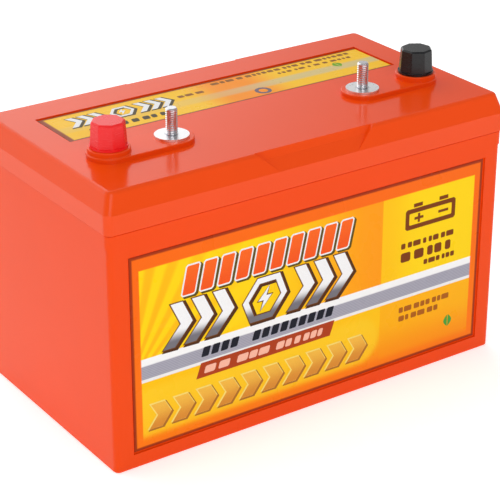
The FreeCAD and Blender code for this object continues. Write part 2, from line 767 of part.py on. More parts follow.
# ---------------------------------------------------------------- valves
def build_valves():
    """One rubber cap on the neck of each cell."""
    middle = "(cover_front + cover_back) / 2"
    for number in range(1, int(size("cell_count")) + 1):
        body = new_body(f"relief_valve_{number}")
        outline = new_sketch(body, f"valve_outline_{number}")
        circle(outline, "valve", "0", "0", "valve_radius")
        full = pad(body, outline, f"valve_block_{number}", "neck_top - valve_low + valve_roof")
        height = value_of("neck_top - valve_low + valve_roof")
        rim = edges_where(full, lambda point: abs(point.z - height) < NEAR)
        round_edges(body, full, f"valve_edge_{number}", "edge_round", rim)
        inside = new_sketch(body, f"valve_bore_outline_{number}")
        circle(inside, "bore", "0", "0", "valve_bore")
        pocket(body, inside, f"valve_bore_{number}", "neck_top - valve_low", backwards=True)
        bind(body, Placement__Base__x=f"first_neck + {number - 1} * neck_pitch")
        bind(body, Placement__Base__y=middle, Placement__Base__z="valve_low")
        piece(f"relief_valve_{number}", body)


# ---------------------------------------------------------------- cells
def plate_outline(sketch, lug_middle):
    """A plate in the YZ plane with its lug at the top."""
    left, right = f"{lug_middle} - lug_half", f"{lug_middle} + lug_half"
    polygon(
        sketch,
        "plate",
        [
            ("-plate_half", "plate_low"),
            ("plate_half", "plate_low"),
            ("plate_half", "plate_high"),
            (right, "plate_high"),
            (right, "strap_low"),
            (left, "strap_low"),
            (left, "plate_high"),
            ("-plate_half", "plate_high"),
        ],
    )


def build_stack(cell, kind, lug_middle, first, thickness, pitch, count):
    """A row of equal plates along one cell, each a solid of its own."""
    name = f"cell_{cell}_{kind}"
    body = new_body(name)
    sketch = new_sketch(body, f"{name}_outline", "YZ", first)
    plate_outline(sketch, lug_middle)
    single = pad(body, sketch, f"{name}_single", thickness)
    repeat_along_x(body, single, f"{name}_row", pitch, count)
    bind(body, Placement__Base__x=f"first_cell + {cell - 1} * cell_pitch")
    return piece(name, body)


def build_strap(cell, kind, lug_middle, wing, plates_half):
    """The bar on a cell's lugs, with a wing at the cell wall or a pillar to the terminal.

    wing is +1 or -1 for the side of the cell that it connects to, or 0 at a terminal.
    """
    name = f"cell_{cell}_{kind}_strap"
    centre = f"(first_cell + {cell - 1} * cell_pitch)"
    low_x, high_x = f"{centre} - ({plates_half})", f"{centre} + ({plates_half})"
    wall = f"{centre} + {wing} * cell_length / 2"
    if wing > 0:
        high_x = wall
    if wing < 0:
        low_x = wall
    front, back = f"{lug_middle} - strap_half", f"{lug_middle} + strap_half"
    solids = [box(f"{name}_bar", low_x, high_x, front, back, "strap_low", "strap_high")]
    if wing:
        inner = f"{wall} - {wing} * wing_thick"
        near, far = sorted((wall, inner), key=value_of)
        solids.append(box(f"{name}_wing", near, far, front, back, "strap_low", "wing_high"))
        button = doc.addObject("Part::Cylinder", f"{name}_button")
        bind(button, Radius="weld_hole", Height="partition / 2")
        button.Placement = FreeCAD.Placement(V(0, 0, 0), FreeCAD.Rotation(V(0, 0, 1), V(wing, 0, 0)))
        bind(button, Placement__Base__x=wall, Placement__Base__y=lug_middle)
        bind(button, Placement__Base__z="weld_height")
        solids.append(button)
    else:
        post = "-post_x" if cell == 1 else "post_x"
        top = "post_top - pillar_short"
        solids.append(
            cylinder(f"{name}_pillar", "pillar_radius", "strap_low", top, post, "post_y")
        )
    return piece(name, joined(f"{name}_whole", solids))


def build_cells():
    """Plates, separators and straps. Polarity swaps from cell to cell."""
    count = int(size("cell_count"))
    positive_first = "negative_thick + mat_thick - stack_half"
    mat_first = "negative_thick - stack_half"
    positive_half = "stack_half - negative_thick - mat_thick"
    for cell in range(1, count + 1):
        positive_lug = "-lug_y" if cell % 2 else "lug_y"
        negative_lug = "lug_y" if cell % 2 else "-lug_y"
        build_stack(
            cell,
            "positive_plates",
            positive_lug,
            positive_first,
            "positive_thick",
            "pair_pitch",
            "positive_plates",
        )
        build_stack(
            cell,
            "negative_plates",
            negative_lug,
            "-stack_half",
            "negative_thick",
            "pair_pitch",
            "negative_plates",
        )
        build_separators(cell, mat_first)
        build_strap(cell, "positive", positive_lug, -1 if cell > 1 else 0, positive_half)
        build_strap(cell, "negative", negative_lug, 1 if cell < count else 0, "stack_half")


def build_separators(cell, mat_first):
    """Two rows of mats, before and after each positive plate, as one group of solids."""
    name = f"cell_{cell}_separators"
    body = new_body(name)
    for row, start in (
        ("before", mat_first),
        ("after", f"{mat_first} + mat_thick + positive_thick"),
    ):
        sketch = new_sketch(body, f"{name}_{row}_outline", "YZ", start)
        rectangle(sketch, "mat", "-mat_half", "mat_half", "mat_low", "mat_high")
        single = pad(body, sketch, f"{name}_{row}_single", "mat_thick")
        repeat_along_x(body, single, f"{name}_{row}_row", "pair_pitch", "positive_plates")
    bind(body, Placement__Base__x=f"first_cell + {cell - 1} * cell_pitch")
    return piece(name, body)


# ---------------------------------------------------------------- assembly
build_container()
moulding = build_lid_moulding()
build_valve_cover()
build_labels()
spaces = [
    build_casting("positive", "-", "positive_top"),
    build_casting("negative", "", "negative_top"),
]
piece("lid", less("lid_whole", moulding, joined("terminal_spaces", spaces)))
for polarity, side in (("positive", "-"), ("negative", "")):
    build_stud(polarity, side)
build_cap("positive_post_cap", "-", "positive_top", "red_cap_turn")
build_cap("negative_post_cap", "", "negative_top", "black_cap_turn")
build_valves()
build_cells()
doc.recompute()

# ---------------------------------------------------------------- checks and files
for item in doc.Objects:
    if "Invalid" in item.State or "Error" in item.State:
        raise ValueError(f"{item.Label} could not be built: {item.State}")
os.makedirs("parts", exist_ok=True)
for node, item in PIECES.items():
    shape = item.Shape
    if shape.isNull() or not shape.isValid() or not shape.Solids:
        raise ValueError(f"{node} has no valid solid")
    shape.exportStep(os.path.join("parts", f"{node}.step"))
    bounds = shape.BoundBox
    print(
        f"{node}: {len(shape.Solids)} solids, {shape.Volume / 1000:.1f} cm3,"
        f" x {bounds.XMin:.1f}..{bounds.XMax:.1f}, y {bounds.YMin:.1f}..{bounds.YMax:.1f},"
        f" z {bounds.ZMin:.1f}..{bounds.ZMax:.1f}"
    )
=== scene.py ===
import json
import math
import random

import bmesh
import bpy
from mathutils import Matrix, Vector


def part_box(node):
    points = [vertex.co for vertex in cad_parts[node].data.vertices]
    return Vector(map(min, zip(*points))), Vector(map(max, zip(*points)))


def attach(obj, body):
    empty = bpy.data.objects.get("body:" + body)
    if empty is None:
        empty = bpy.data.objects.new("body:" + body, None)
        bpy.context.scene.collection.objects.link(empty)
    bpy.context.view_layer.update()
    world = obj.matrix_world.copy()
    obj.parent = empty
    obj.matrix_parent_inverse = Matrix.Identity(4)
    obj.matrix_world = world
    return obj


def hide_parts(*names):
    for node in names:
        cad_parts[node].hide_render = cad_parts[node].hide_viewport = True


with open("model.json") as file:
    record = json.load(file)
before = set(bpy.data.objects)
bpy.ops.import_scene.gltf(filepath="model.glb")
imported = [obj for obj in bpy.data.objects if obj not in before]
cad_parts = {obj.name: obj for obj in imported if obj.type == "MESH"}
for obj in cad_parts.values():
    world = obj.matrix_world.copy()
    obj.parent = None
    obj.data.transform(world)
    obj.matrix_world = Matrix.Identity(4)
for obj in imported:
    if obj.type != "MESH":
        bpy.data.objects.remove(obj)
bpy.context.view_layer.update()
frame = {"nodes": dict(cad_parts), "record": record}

MM = 0.001
ROOT = "battery"
CELLS = range(1, 7)
nodes = frame["nodes"]
mounts = {mount["name"]: mount for mount in frame["record"]["mounts"]}

# ---------------------------------------------------------------- camera and studio
VIEW_AZIMUTH = -34.46
VIEW_ELEVATION = 25.11
VIEW_DISTANCE = 1.2839
LOOK_AT = Vector((0.0037, 0.0, 0.0864))
LENS_MM = 129.04
SENSOR_MM = 36.0


def toward(azimuth, elevation):
    """Unit vector from the object to a viewer at that azimuth and elevation, in degrees."""
    azimuth, elevation = math.radians(azimuth), math.radians(elevation)
    flat = math.cos(elevation)
    return Vector((math.sin(azimuth) * flat, -math.cos(azimuth) * flat, math.sin(elevation)))


def aim(thing, target):
    """Turns a camera or light, which look along their own -Z, to face the target."""
    thing.rotation_euler = (target - thing.location).to_track_quat("-Z", "Y").to_euler()


def add_camera():
    data = bpy.data.cameras.new("camera")
    data.lens = LENS_MM
    data.sensor_width = SENSOR_MM
    data.clip_start = 0.05
    data.clip_end = 50
    camera = bpy.data.objects.new("camera", data)
    bpy.context.scene.collection.objects.link(camera)
    camera.location = LOOK_AT + toward(VIEW_AZIMUTH, VIEW_ELEVATION) * VIEW_DISTANCE
    aim(camera, LOOK_AT)
    bpy.context.scene.camera = camera


def add_softbox(name, azimuth, elevation, distance, size, watts, glossy=True):
    data = bpy.data.lights.new(name, "AREA")
    data.shape = "RECTANGLE"
    data.size, data.size_y = size
    data.energy = watts
    light = bpy.data.objects.new(name, data)
    bpy.context.scene.collection.objects.link(light)
    light.location = LOOK_AT + toward(azimuth, elevation) * distance
    light.visible_camera = False
    light.visible_glossy = glossy
    aim(light, LOOK_AT)


# ---------------------------------------------------------------- node graphs
class Graph:
    """Short names for the shader nodes that the materials below are made of."""

    def __init__(self, tree):
        self.tree = tree
        self.nodes = tree.nodes

    def new(self, kind, **settings):
        node = self.nodes.new(kind)
        for key, value in settings.items():
            setattr(node, key, value)
        return node

    def put(self, socket, value):
        if isinstance(value, bpy.types.NodeSocket):
            self.tree.links.new(value, socket)
        elif value is not None:
            if socket.type == "RGBA" and len(value) == 3:
                value = (*value, 1)
            socket.default_value = value

    def math(self, operation, a, b=None, c=None):
        node = self.new("ShaderNodeMath", operation=operation)
        for socket, value in zip(node.inputs, (a, b, c)):
            self.put(socket, value)
        return node.outputs[0]

    def mix(self, share, low, high):
        node = self.new("ShaderNodeMix", data_type="RGBA", clamp_factor=True)
        self.put(node.inputs[0], share)
        self.put(node.inputs[6], low)
        self.put(node.inputs[7], high)
        return node.outputs[2]

    def ramp(self, value, start, end, low=0.0, high=1.0):
        """A smooth step from low at start to high at end."""
        node = self.new("ShaderNodeMapRange", interpolation_type="SMOOTHSTEP")
        names = ("Value", "From Min", "From Max", "To Min", "To Max")
        for name, number in zip(names, (value, start, end, low, high)):
            self.put(node.inputs[name], number)
        return node.outputs[0]

    def band(self, value, start, end, soft):
        """1 between start and end, 0 outside, with soft edges."""
        rise = self.ramp(value, start - soft, start + soft)
        return self.math("SUBTRACT", rise, self.ramp(value, end - soft, end + soft))

    def noise(self, where, scale, detail=2.0):
        node = self.new("ShaderNodeTexNoise")
        self.put(node.inputs["Vector"], where)
        self.put(node.inputs["Scale"], scale)
        self.put(node.inputs["Detail"], detail)
        return node.outputs["Fac"]

    def cells(self, where, scale):
        """Distance to the nearest of scattered points, in cells."""
        node = self.new("ShaderNodeTexVoronoi")
        self.put(node.inputs["Vector"], where)
        self.put(node.inputs["Scale"], scale)
        return node.outputs["Distance"]

    def stretch(self, where, x, y, z):
        node = self.new("ShaderNodeVectorMath", operation="MULTIPLY")
        self.put(node.inputs[0], where)
        self.put(node.inputs[1], (x, y, z))
        return node.outputs[0]

    def place(self):
        return self.new("ShaderNodeTexCoord").outputs["Object"]

    def axes(self, where):
        node = self.new("ShaderNodeSeparateXYZ")
        self.put(node.inputs[0], where)
        return [node.outputs[axis] for axis in "XYZ"]

    def bump(self, height, strength, distance):
        node = self.new("ShaderNodeBump")
        self.put(node.inputs["Height"], height)
        self.put(node.inputs["Strength"], strength)
        self.put(node.inputs["Distance"], distance)
        return node.outputs[0]


def material(name):
    """A new node material: itself, its graph and its shader."""
    made = bpy.data.materials.new(name)
    made.use_nodes = True
    graph = Graph(made.node_tree)
    return made, graph, graph.nodes["Principled BSDF"]


def srgb(red, green, blue):
    """A colour given by its 0 to 255 screen values, as the linear colour that shaders take."""
    def linear(value):
        share = value / 255
        return share / 12.92 if share <= 0.04045 else ((share + 0.055) / 1.055) ** 2.4
    return (linear(red), linear(green), linear(blue))


def darker(colour, share):
    return tuple(channel * share for channel in colour)


# ---------------------------------------------------------------- materials
BLACK = (0.0, 0.0, 0.0)
PRINT_SPECULAR = 0.12


def moulded_plastic(name, colour, roughness, specular, grain=0.02 * MM, variation=0.06):
    """Glossy moulding: flow clouds in the colour, a fine skin and hairline rubs."""
    made, g, shader = material(name)
    where = g.place()
    clouds = g.noise(where, 16, 4)
    g.put(shader.inputs["Base Color"], g.mix(clouds, darker(colour, 1 - variation), colour))
    rubs = g.noise(g.stretch(where, 1, 1, 14), 160, 4)
    skin = g.noise(where, 1400, 3)
    waves = g.noise(where, 45, 2)
    relief = g.math("MULTIPLY_ADD", waves, 4.0, skin)
    g.put(shader.inputs["Roughness"], g.math("MULTIPLY_ADD", rubs, roughness * 0.6, roughness * 0.7))
    g.put(shader.inputs["Specular IOR Level"], specular)
    g.put(shader.inputs["Normal"], g.bump(relief, 0.2, grain))
    return made


def metal(name, colour, roughness, streak, grain, dull=0.8):
    """Bare metal with drawn or cast streaks and patches."""
    made, g, shader = material(name)
    where = g.place()
    lines = g.noise(g.stretch(where, *streak), 260, 4)
    patches = g.noise(where, 130, 3)
    g.put(shader.inputs["Base Color"], g.mix(patches, darker(colour, dull), colour))
    g.put(shader.inputs["Metallic"], 1.0)
    g.put(shader.inputs["Roughness"], g.math("MULTIPLY_ADD", lines, roughness, roughness * 0.5))
    g.put(shader.inputs["Normal"], g.bump(lines, 0.3, grain))
    return made


def turned_metal(name, colour, roughness, centres):
    """Washer faces with fine turning marks round each centre, given in x and y."""
    made, g, shader = material(name)
    x, y, _ = g.axes(g.place())
    rings = None
    for centre_x, centre_y in centres:
        across = g.math("SUBTRACT", x, centre_x)
        along = g.math("SUBTRACT", y, centre_y)
        squares = g.math("ADD", g.math("MULTIPLY", across, across), g.math("MULTIPLY", along, along))
        reach = g.math("SQRT", squares)
        rings = reach if rings is None else g.math("MINIMUM", rings, reach)
    marks = g.math("SINE", g.math("MULTIPLY", rings, 2 * math.pi / (0.35 * MM)))
    smears = g.noise(g.place(), 300, 4)
    g.put(shader.inputs["Base Color"], g.mix(smears, darker(colour, 0.86), colour))
    g.put(shader.inputs["Metallic"], 1.0)
    g.put(shader.inputs["Roughness"], g.math("MULTIPLY_ADD", smears, roughness, roughness * 0.6))
    g.put(shader.inputs["Normal"], g.bump(marks, 0.25, 0.01 * MM))
    return made


def pasted_grid(name, colour, grid_colour, pitch=7.5 * MM, bar=0.7 * MM):
    """A battery plate: rough paste pressed between the bars of a cast grid."""
    made, g, shader = material(name)
    where = g.place()
    _, y, z = g.axes(where)
    bars = None
    for axis in (y, z):
        offset = g.math("PINGPONG", axis, pitch / 2)
        near = g.ramp(offset, bar, bar * 0.4)
        bars = near if bars is None else g.math("MAXIMUM", bars, near)
    grit = g.noise(where, 900, 5)
    patches = g.noise(where, 60, 3)
    paste = g.mix(patches, darker(colour, 0.65), darker(colour, 1.25))
    g.put(shader.inputs["Base Color"], g.mix(bars, paste, grid_colour))
    g.put(shader.inputs["Roughness"], g.math("MULTIPLY_ADD", bars, -0.35, 0.9))
    relief = g.math("MULTIPLY_ADD", bars, 2.0, grit)
    g.put(shader.inputs["Normal"], g.bump(relief, 0.6, 0.15 * MM))
    return made


def fibre_mat(name):
    """Felted glass fibre: crossing fine strands in off-white, damp in patches."""
    made, g, shader = material(name)
    where = g.place()
    strands = [g.noise(g.stretch(where, *run), 700, 3) for run in ((1, 9, 1), (1, 1, 9), (1, 6, 5))]
    felt = g.math("MAXIMUM", g.math("MAXIMUM", strands[0], strands[1]), strands[2])
    damp = g.noise(where, 25, 3)
    dry, wet = (0.86, 0.86, 0.83), (0.62, 0.63, 0.6)
    g.put(shader.inputs["Base Color"], g.mix(g.ramp(damp, 0.35, 0.65), wet, dry))
    g.put(shader.inputs["Roughness"], g.ramp(damp, 0.35, 0.65, 0.55, 0.95))
    g.put(shader.inputs["Sheen Weight"], 0.3)
    g.put(shader.inputs["Normal"], g.bump(felt, 0.8, 0.2 * MM))
    return made


def soft_rubber(name, colour):
    """Moulded rubber with a dusting of talc."""
    made, g, shader = material(name)
    where = g.place()
    talc = g.ramp(g.noise(where, 500, 5), 0.55, 0.8)
    g.put(shader.inputs["Base Color"], g.mix(talc, colour, (0.12, 0.12, 0.12)))
    g.put(shader.inputs["Roughness"], g.math("MULTIPLY_ADD", talc, 0.25, 0.5))
    g.put(shader.inputs["Normal"], g.bump(g.cells(where, 900), 0.3, 0.03 * MM))
    return made


def ink(name, colour, shade=None, span=None):
    """Printed ink. With shade it fades from shade to colour over span: an axis and two places."""
    made, g, shader = material(name)
    where = g.place()
    grain = g.noise(where, 1800, 2)
    if shade:
        axis, low, high = span
        face = g.mix(g.ramp(g.axes(where)[axis], low, high), shade, colour)
    else:
        face = colour
    dots = g.math("MULTIPLY", grain, 0.16)
    g.put(shader.inputs["Base Color"], g.mix(dots, face, BLACK))
    g.put(shader.inputs["Roughness"], g.math("MULTIPLY_ADD", grain, 0.1, 0.3))
    g.put(shader.inputs["Specular IOR Level"], PRINT_SPECULAR)
    return made


def assign(made, *names):
    for name in names:
        slots = nodes[name].data.materials
        slots.clear()
        slots.append(made)


STUDS = [mounts[f"{side}_stud_pin"]["pos_m"] for side in ("positive", "negative")]
lid_orange = moulded_plastic("orange_lid", (0.9, 0.072, 0.004), 0.16, 0.22)
case_orange = moulded_plastic("orange_case", (0.9, 0.07, 0.004), 0.2, 0.12)
red_vinyl = moulded_plastic("red_vinyl", (0.93, 0.012, 0.014), 0.26, 0.4, 0.04 * MM)
black_vinyl = moulded_plastic("black_vinyl", (0.006, 0.007, 0.008), 0.26, 0.4, 0.04 * MM)
steel = metal("stainless_steel", (0.83, 0.83, 0.86), 0.2, (1, 1, 14), 0.01 * MM)
tin = turned_metal("tinned_washer", (0.93, 0.93, 0.94), 0.28, [stud[:2] for stud in STUDS])
lead = metal("cast_lead", (0.32, 0.33, 0.35), 0.5, (1, 1, 1), 0.12 * MM, 0.7)
positive_paste = pasted_grid("positive_paste", (0.075, 0.03, 0.018), (0.2, 0.19, 0.18))
negative_paste = pasted_grid("negative_paste", (0.17, 0.17, 0.18), (0.3, 0.3, 0.31))
glass_fibre = fibre_mat("glass_fibre")
rubber = soft_rubber("valve_rubber", (0.012, 0.012, 0.013))

assign(case_orange, "container")
assign(lid_orange, "lid", "valve_cover")
assign(red_vinyl, "positive_post_cap")
assign(black_vinyl, "negative_post_cap")
for side in ("positive", "negative"):
    assign(lead, f"{side}_terminal")
    assign(tin, f"{side}_contact_washer")
for cell in CELLS:
    assign(rubber, f"relief_valve_{cell}")
    assign(positive_paste, f"cell_{cell}_positive_plates")
    assign(negative_paste, f"cell_{cell}_negative_plates")
    assign(glass_fibre, f"cell_{cell}_separators")
    assign(lead, f"cell_{cell}_positive_strap", f"cell_{cell}_negative_strap")


# ---------------------------------------------------------------- studs
THREAD_PITCH = 25.4 / 18 * MM
THREAD_DEPTH = 0.61 * THREAD_PITCH
# share of the pitch, and share of the depth, along one turn of a worn rolled thread
THREAD_SHAPE = (
    (0.0, 0.0), (0.12, 0.0), (0.28, 0.55), (0.42, 1.0), (0.58, 1.0), (0.72, 0.55), (0.88, 0.0),
)
THREAD_SIDES = 48
ROOT_RADIUS = 4.6 * MM
CHAMFER = 0.8 * MM
WELD_DISTANCE = 0.002 * MM


def thread_depth(turn):
    """How deep the thread is cut at that share of a turn, which is between 0 and 1."""
    points = THREAD_SHAPE + ((1.0, 0.0),)
    for (low, start), (high, end) in zip(points, points[1:]):
        if turn <= high:
            return (start + (end - start) * (turn - low) / (high - low)) * THREAD_DEPTH
    return 0.0


def add_stud(side):
    """A 5/16-18 stud: a helical thread with a chamfered end on a plain root."""
    mount = mounts[f"{side}_stud_pin"]
    x, y, middle = mount["pos_m"]
    radius = mount["dims"]["r_mm"] * MM
    low = middle - mount["dims"]["length_mm"] * MM / 2
    bottom, top = (corner[2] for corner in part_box(f"{side}_stud"))

    def surface(angle, height):
        """Radius of the threaded surface there."""
        turn = ((height - low) / THREAD_PITCH - angle / (2 * math.pi)) % 1.0
        chamfer = radius - CHAMFER + (top - height)
        return min(radius - thread_depth(turn), chamfer)

    mesh = bmesh.new()
    rings = []
    angles = [2 * math.pi * number / THREAD_SIDES for number in range(THREAD_SIDES)]

    def add_ring(radii, heights):
        loop = []
        for angle, reach, height in zip(angles, radii, heights):
            spot_x, spot_y = x + reach * math.cos(angle), y + reach * math.sin(angle)
            loop.append(mesh.verts.new((spot_x, spot_y, height)))
        rings.append(loop)

    for height in (bottom, low):
        add_ring([ROOT_RADIUS] * THREAD_SIDES, [height] * THREAD_SIDES)
    turns = math.ceil((top - low) / THREAD_PITCH)
    for turn in range(-1, turns):
        for share, _ in THREAD_SHAPE:
            climb = [(turn + share + angle / (2 * math.pi)) * THREAD_PITCH for angle in angles]
            heights = [min(max(low + rise, low), top) for rise in climb]
            add_ring([surface(angle, height) for angle, height in zip(angles, heights)], heights)
    add_ring([surface(angle, top) for angle in angles], [top] * THREAD_SIDES)
    for lower, upper in zip(rings, rings[1:]):
        for number in range(THREAD_SIDES):
            after = (number + 1) % THREAD_SIDES
            mesh.faces.new((lower[number], lower[after], upper[after], upper[number]))
    mesh.faces.new(reversed(rings[0]))
    mesh.faces.new(rings[-1])
    bmesh.ops.remove_doubles(mesh, verts=mesh.verts, dist=WELD_DISTANCE)
    bmesh.ops.dissolve_degenerate(mesh, edges=mesh.edges, dist=WELD_DISTANCE)
    bmesh.ops.recalc_face_normals(mesh, faces=mesh.faces)
    stud = add_mesh(f"{side}_threaded_stud", mesh, steel)
    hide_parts(f"{side}_stud")


def add_mesh(name, mesh, made, smooth_angle=35):
    """Turns a bmesh into a piece that rides on the battery."""
    data = bpy.data.meshes.new(name)
    mesh.to_mesh(data)
    mesh.free()
    data.materials.append(made)
    piece = bpy.data.objects.new(name, data)
    bpy.context.scene.collection.objects.link(piece)
    data.shade_smooth()
    data.set_sharp_from_angle(angle=math.radians(smooth_angle))
    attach(piece, ROOT)
    return piece


# ---------------------------------------------------------------- flat artwork
def area(loop):
    """Positive when the loop runs anticlockwise."""
    return sum(a[0] * b[1] - b[0] * a[1] for a, b in zip(loop, loop[1:] + loop[:1])) / 2


def wound(loop, hole=False):
    """The loop run anticlockwise, or clockwise if it is a hole."""
    return list(reversed(loop)) if (area(loop) > 0) == hole else list(loop)


SHARPEST = 0.2
LONGEST_MITRE = 2.2


def grown(loop, distance):
    """The loop moved out to its right: a shape grows, and a hole in it closes up."""
    out = []
    for before, here, after in zip(loop[-1:] + loop[:-1], loop, loop[1:] + loop[:1]):
        come = Vector((here[0] - before[0], here[1] - before[1])).normalized()
        leave = Vector((after[0] - here[0], after[1] - here[1])).normalized()
        normal = Vector((come.y + leave.y, -come.x - leave.x))
        mitre = min(2.0 / max(normal.length_squared, SHARPEST), LONGEST_MITRE)
        out.append((here[0] + normal.x * distance * mitre, here[1] + normal.y * distance * mitre))
    return out


def moved(loops, across, up):
    return [[(u + across, v + up) for u, v in loop] for loop in loops]


def slanted(loops, base, slant):
    """The loops leaning to the right above the height base, and to the left below it."""
    return [[(u + (v - base) * slant, v) for u, v in loop] for loop in loops]


def block(left, low, wide, tall, cut=0.0):
    """A rectangle with its corners cut off."""
    right, high = left + wide, low + tall
    if not cut:
        return [(left, low), (right, low), (right, high), (left, high)]
    return [
        (left + cut, low), (right - cut, low), (right, low + cut), (right, high - cut),
        (right - cut, high), (left + cut, high), (left, high - cut), (left, low + cut),
    ]


def ring(centre_u, centre_v, radius, sides):
    """A regular shape with that many sides."""
    steps = [2 * math.pi * number / sides for number in range(sides)]
    return [(centre_u + radius * math.cos(step), centre_v + radius * math.sin(step)) for step in steps]


def chevron(left, low, tall, stroke, point):
    """An arrow head that points to the right."""
    high, middle = low + tall, low + tall / 2
    return [
        (left, low), (left + stroke, low), (left + stroke + point, middle), (left + stroke, high),
        (left, high), (left + point, middle),
    ]


def bolt(centre_u, centre_v, tall):
    """A lightning bolt."""
    outline = [(0.12, 0.5), (-0.3, -0.08), (-0.04, -0.08), (-0.12, -0.5), (0.3, 0.1), (0.04, 0.1)]
    return [(centre_u + u * tall, centre_v + v * tall) for u, v in outline]


def dashes(left, low, right, tall, seed, gap=1.1, lean=0.0):
    """A row of short bars of uneven length, which stands for a line of small print."""
    pick = random.Random(seed)
    loops = []
    at = left
    while at < right - tall:
        wide = min(tall * pick.choice((0.7, 0.9, 1.2, 1.6)), right - at)
        loops.append(wound(block(at, low, wide, tall, tall * 0.15)))
        at += wide + gap * pick.choice((1.0, 1.0, 2.2))
    return slanted(loops, low, lean)


class Panel:
    """The face of a label: its origin and the ways across, up and out of it."""

    def __init__(self, tag, origin, across, up):
        self.tag = tag
        across, up = Vector(across), Vector(up)
        turn = Matrix((across, up, across.cross(up))).transposed().to_4x4()
        self.matrix = Matrix.Translation(origin) @ turn

    def add_print(self, name, loops, made, lift, grow=0.0, thick=0.012, shift=(0, 0)):
        """Ink as thin raised shapes. Sizes are in millimetres on the panel."""
        curve = bpy.data.curves.new(name, "CURVE")
        curve.dimensions = "2D"
        curve.fill_mode = "BOTH"
        curve.extrude = thick / 2 * MM
        for loop in loops:
            loop = grown(loop, grow) if grow else loop
            spline = curve.splines.new("POLY")
            spline.points.add(len(loop) - 1)
            spline.use_cyclic_u = True
            for point, (u, v) in zip(spline.points, loop):
                point.co = ((u + shift[0]) * MM, (v + shift[1]) * MM, 0, 1)
        outline = bpy.data.objects.new(name, curve)
        mesh = bmesh.new()
        mesh.from_mesh(bpy.data.meshes.new_from_object(outline))
        bpy.data.objects.remove(outline)
        bmesh.ops.remove_doubles(mesh, verts=mesh.verts, dist=0.0005 * MM)
        mesh.transform(self.matrix @ Matrix.Translation((0, 0, (lift + thick / 2) * MM)))
        return add_mesh(f"{self.tag}_{name}", mesh, made, 20)


# Print layers stand on each other: how far each is off the label, in millimetres.
LIFT_BAND, LIFT_SHADOW, LIFT_EDGE, LIFT_FACE = 0.02, 0.04, 0.06, 0.08

# Layout of a side label, in millimetres: u is across from the middle, v is up from the floor.
LABEL_HALF, LABEL_HALF_TALL, LABEL_MIDDLE_V = 145.7, 70.2, 82.0
FIELD_HALF, FIELD_TOP = 138.8, 141.6
STRIPE_LOW, STRIPE_HIGH = 61.0, 78.2
DIVISION_U = 57.0
RAYS_FROM_U, RAYS_FROM_V = -150.0, 58.0
PILL_U, PILL_V = 38.0, 38.0
GAUGE_LOW, GAUGE_TALL, GAUGE_SLANT = 115.5, 20, 0.22
ARROW_LOW, ARROW_TALL = 25, 18
NOTE_LEFT, NOTE_RIGHT = 74, 125
MARK_SLANT = 0.2

# Layout of the lid label, where v is the distance behind the middle of the battery.
TOP_LABEL_HALF, TOP_LABEL_HALF_DEEP, TOP_LABEL_MIDDLE_V = 133.7, 23.2, 29.5


def gauge_bars():
    """Ten slanted bars, as on a charge gauge."""
    left, pitch, wide, cut = -107, 13.8, 9.4, 0.8
    bars = []
    for number in range(10):
        bars.append(wound(block(left + number * pitch, GAUGE_LOW, wide, GAUGE_TALL, cut)))
    return slanted(bars, 115, GAUGE_SLANT)


def power_marks(left, middle_v, size):
    """Three chevrons, a six-sided ring and three more chevrons, and apart from them a bolt."""
    low, centre, second_group = middle_v - size / 2, left + size * 2.45, left + size * 3.12
    stroke, point, pitch = size * 0.29, size * 0.34, size * 0.52
    outside, inside, flash_tall = size * 0.57, size * 0.42, size * 0.56
    loops = []
    for start in (left, second_group):
        for number in range(3):
            loops.append(wound(chevron(start + number * pitch, low, size, stroke, point)))
    loops.append(wound(ring(centre, middle_v, outside, 6)))
    loops.append(wound(ring(centre, middle_v, inside, 6), hole=True))
    flash = [wound(bolt(centre, middle_v, flash_tall))]
    return slanted(loops, middle_v, MARK_SLANT), slanted(flash, middle_v, MARK_SLANT)


def arrow_row():
    """Ten broad arrow heads."""
    left, pitch, stroke, point = -134, 18.0, 10.5, 6
    arrows = []
    for number in range(10):
        arrows.append(wound(chevron(left + number * pitch, ARROW_LOW, ARROW_TALL, stroke, point)))
    return slanted(arrows, ARROW_LOW, 0.1)


def stripe_marks():
    """Dark slanted bars on the silver stripe, in two groups."""
    pitch, low, wide, tall, cut = 7.6, 66.3, 5.8, 7, 0.6
    loops = []
    for start, count in ((-93, 4), (-52.5, 9)):
        for number in range(count):
            loops.append(wound(block(start + number * pitch, low, wide, tall, cut)))
    return slanted(loops, 66, 0.3)


def battery_mark():
    """A battery symbol: an outline with two posts, a plus and a minus."""
    outside, inside = block(77, 113.6, 45, 15.6, 1.5), block(80.4, 117, 38.2, 8.8, 0.6)
    loops = [wound(outside), wound(inside, hole=True)]
    for post_left in (84, 107):
        loops.append(wound(block(post_left, 130, 8, 2.8)))
    plus = [
        (-4, -1), (-1, -1), (-1, -3.4), (1, -3.4), (1, -1), (4, -1),
        (4, 1), (1, 1), (1, 3.4), (-1, 3.4), (-1, 1), (-4, 1),
    ]
    minus = block(106.5, 120.4, 9, 2)
    loops += moved([wound(plus)], 89, 121.4)
    loops.append(wound(minus))
    return loops


def leaf_mark():
    """A small leaf, in two halves with a gap along its middle."""
    stem_u, low, tall, half_gap, half_wide, steps = 120, 27, 9.5, 0.3, 3.4, 9
    loops = []
    for side in (-1, 1):
        rim = [(stem_u + side * half_gap, low)]
        for step in range(1, steps):
            share = step / steps
            bulge = half_gap + half_wide * math.sin(math.pi * share)
            rim.append((stem_u + side * bulge, low + tall * share))
        rim.append((stem_u + side * half_gap, low + tall))
        loops.append(wound(rim))
    return loops


